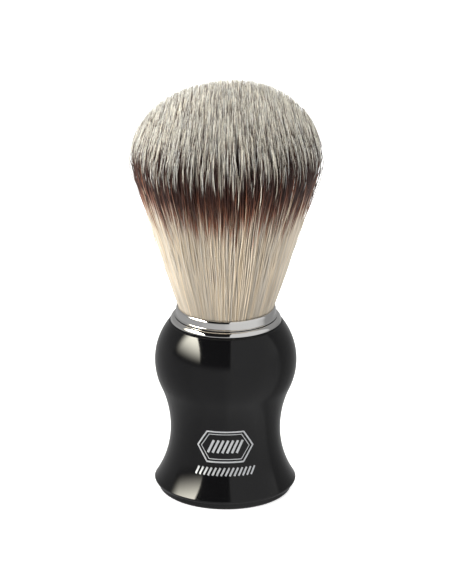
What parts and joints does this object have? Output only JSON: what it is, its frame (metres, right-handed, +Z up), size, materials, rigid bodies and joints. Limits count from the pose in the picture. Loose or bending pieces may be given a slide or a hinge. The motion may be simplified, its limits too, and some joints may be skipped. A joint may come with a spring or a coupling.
{
  "type": "shaving brush",
  "caption": "Shaving brush with a waisted black handle, bright ringed collar and domed synthetic knot that bends and splays, standing on a flat base.",
  "frame": {"origin": "centre of the base cap's flat underside, on the surface that the brush stands on", "axes": "+Z up along the brush's axis from base to knot; +X and +Y are any two level directions, as the brush is turned about +Z"},
  "size_m": [0.0516, 0.0516, 0.1158],
  "materials": {
    "gloss_black_abs": "moulded, polished",
    "satin_black_abs": "moulded, satin",
    "plated_steel": "zinc plated",
    "chrome_plate": "bright mirror",
    "white_nylon": "moulded",
    "clear_epoxy": "cured adhesive",
    "amber_resin": "cured casting resin",
    "white_thread": "twisted polyester",
    "fibre_root": "loose synthetic fibres, cream",
    "fibre_tip": "loose synthetic fibres, dark band and silvery tips"
  },
  "bodies": {
    "handle": {"handle_shell": "gloss_black_abs", "base_cap": "satin_black_abs", "ballast_weight": "plated_steel", "collar_flange": "chrome_plate", "collar_ferrule": "chrome_plate", "knot_cup": "white_nylon", "setting_adhesive": "clear_epoxy", "potting_resin": "amber_resin", "binding_thread": "white_thread", "root_bundle": "fibre_root"},
    "knot_neck": {"neck_bundle": "fibre_root"},
    "knot_head": {"core_bundle": "fibre_tip"},
    "tuft_01": {"tuft_01": "fibre_tip"},
    "tuft_02": {"tuft_02": "fibre_tip"},
    "tuft_03": {"tuft_03": "fibre_tip"},
    "tuft_04": {"tuft_04": "fibre_tip"},
    "tuft_05": {"tuft_05": "fibre_tip"},
    "tuft_06": {"tuft_06": "fibre_tip"},
    "tuft_07": {"tuft_07": "fibre_tip"},
    "tuft_08": {"tuft_08": "fibre_tip"},
    "tuft_09": {"tuft_09": "fibre_tip"},
    "tuft_10": {"tuft_10": "fibre_tip"},
    "tuft_11": {"tuft_11": "fibre_tip"},
    "tuft_12": {"tuft_12": "fibre_tip"}
  },
  "joints": [
    {"name": "neck_bend_x", "type": "hinge", "parent": "handle", "child": "knot_neck", "pos_m": [0, 0, 0.05776], "axis": [1, 0, 0], "range_deg": [-20, 20], "stiffness_Nm_per_rad": 0.2},
    {"name": "head_bend_y", "type": "hinge", "parent": "knot_neck", "child": "knot_head", "pos_m": [0, 0, 0.06576], "axis": [0, 1, 0], "range_deg": [-20, 20], "stiffness_Nm_per_rad": 0.2},
    {"name": "tuft_01_splay", "type": "hinge", "parent": "knot_head", "child": "tuft_01", "pos_m": [0.01401, 0.00375, 0.07426], "axis": [-0.2588, 0.9659, 0], "range_deg": [0, 20], "stiffness_Nm_per_rad": 0.02},
    {"name": "tuft_02_splay", "type": "hinge", "parent": "knot_head", "child": "tuft_02", "pos_m": [0.01025, 0.01025, 0.07426], "axis": [-0.7071, 0.7071, 0], "range_deg": [0, 20], "stiffness_Nm_per_rad": 0.02},
    {"name": "tuft_03_splay", "type": "hinge", "parent": "knot_head", "child": "tuft_03", "pos_m": [0.00375, 0.01401, 0.07426], "axis": [-0.9659, 0.2588, 0], "range_deg": [0, 20], "stiffness_Nm_per_rad": 0.02},
    {"name": "tuft_04_splay", "type": "hinge", "parent": "knot_head", "child": "tuft_04", "pos_m": [-0.00375, 0.01401, 0.07426], "axis": [-0.9659, -0.2588, 0], "range_deg": [0, 20], "stiffness_Nm_per_rad": 0.02},
    {"name": "tuft_05_splay", "type": "hinge", "parent": "knot_head", "child": "tuft_05", "pos_m": [-0.01025, 0.01025, 0.07426], "axis": [-0.7071, -0.7071, 0], "range_deg": [0, 20], "stiffness_Nm_per_rad": 0.02},
    {"name": "tuft_06_splay", "type": "hinge", "parent": "knot_head", "child": "tuft_06", "pos_m": [-0.01401, 0.00375, 0.07426], "axis": [-0.2588, -0.9659, 0], "range_deg": [0, 20], "stiffness_Nm_per_rad": 0.02},
    {"name": "tuft_07_splay", "type": "hinge", "parent": "knot_head", "child": "tuft_07", "pos_m": [-0.01401, -0.00375, 0.07426], "axis": [0.2588, -0.9659, 0], "range_deg": [0, 20], "stiffness_Nm_per_rad": 0.02},
    {"name": "tuft_08_splay", "type": "hinge", "parent": "knot_head", "child": "tuft_08", "pos_m": [-0.01025, -0.01025, 0.07426], "axis": [0.7071, -0.7071, 0], "range_deg": [0, 20], "stiffness_Nm_per_rad": 0.02},
    {"name": "tuft_09_splay", "type": "hinge", "parent": "knot_head", "child": "tuft_09", "pos_m": [-0.00375, -0.01401, 0.07426], "axis": [0.9659, -0.2588, 0], "range_deg": [0, 20], "stiffness_Nm_per_rad": 0.02},
    {"name": "tuft_10_splay", "type": "hinge", "parent": "knot_head", "child": "tuft_10", "pos_m": [0.00375, -0.01401, 0.07426], "axis": [0.9659, 0.2588, 0], "range_deg": [0, 20], "stiffness_Nm_per_rad": 0.02},
    {"name": "tuft_11_splay", "type": "hinge", "parent": "knot_head", "child": "tuft_11", "pos_m": [0.01025, -0.01025, 0.07426], "axis": [0.7071, 0.7071, 0], "range_deg": [0, 20], "stiffness_Nm_per_rad": 0.02},
    {"name": "tuft_12_splay", "type": "hinge", "parent": "knot_head", "child": "tuft_12", "pos_m": [0.01401, -0.00375, 0.07426], "axis": [0.2588, 0.9659, 0], "range_deg": [0, 20], "stiffness_Nm_per_rad": 0.02}
  ]
}
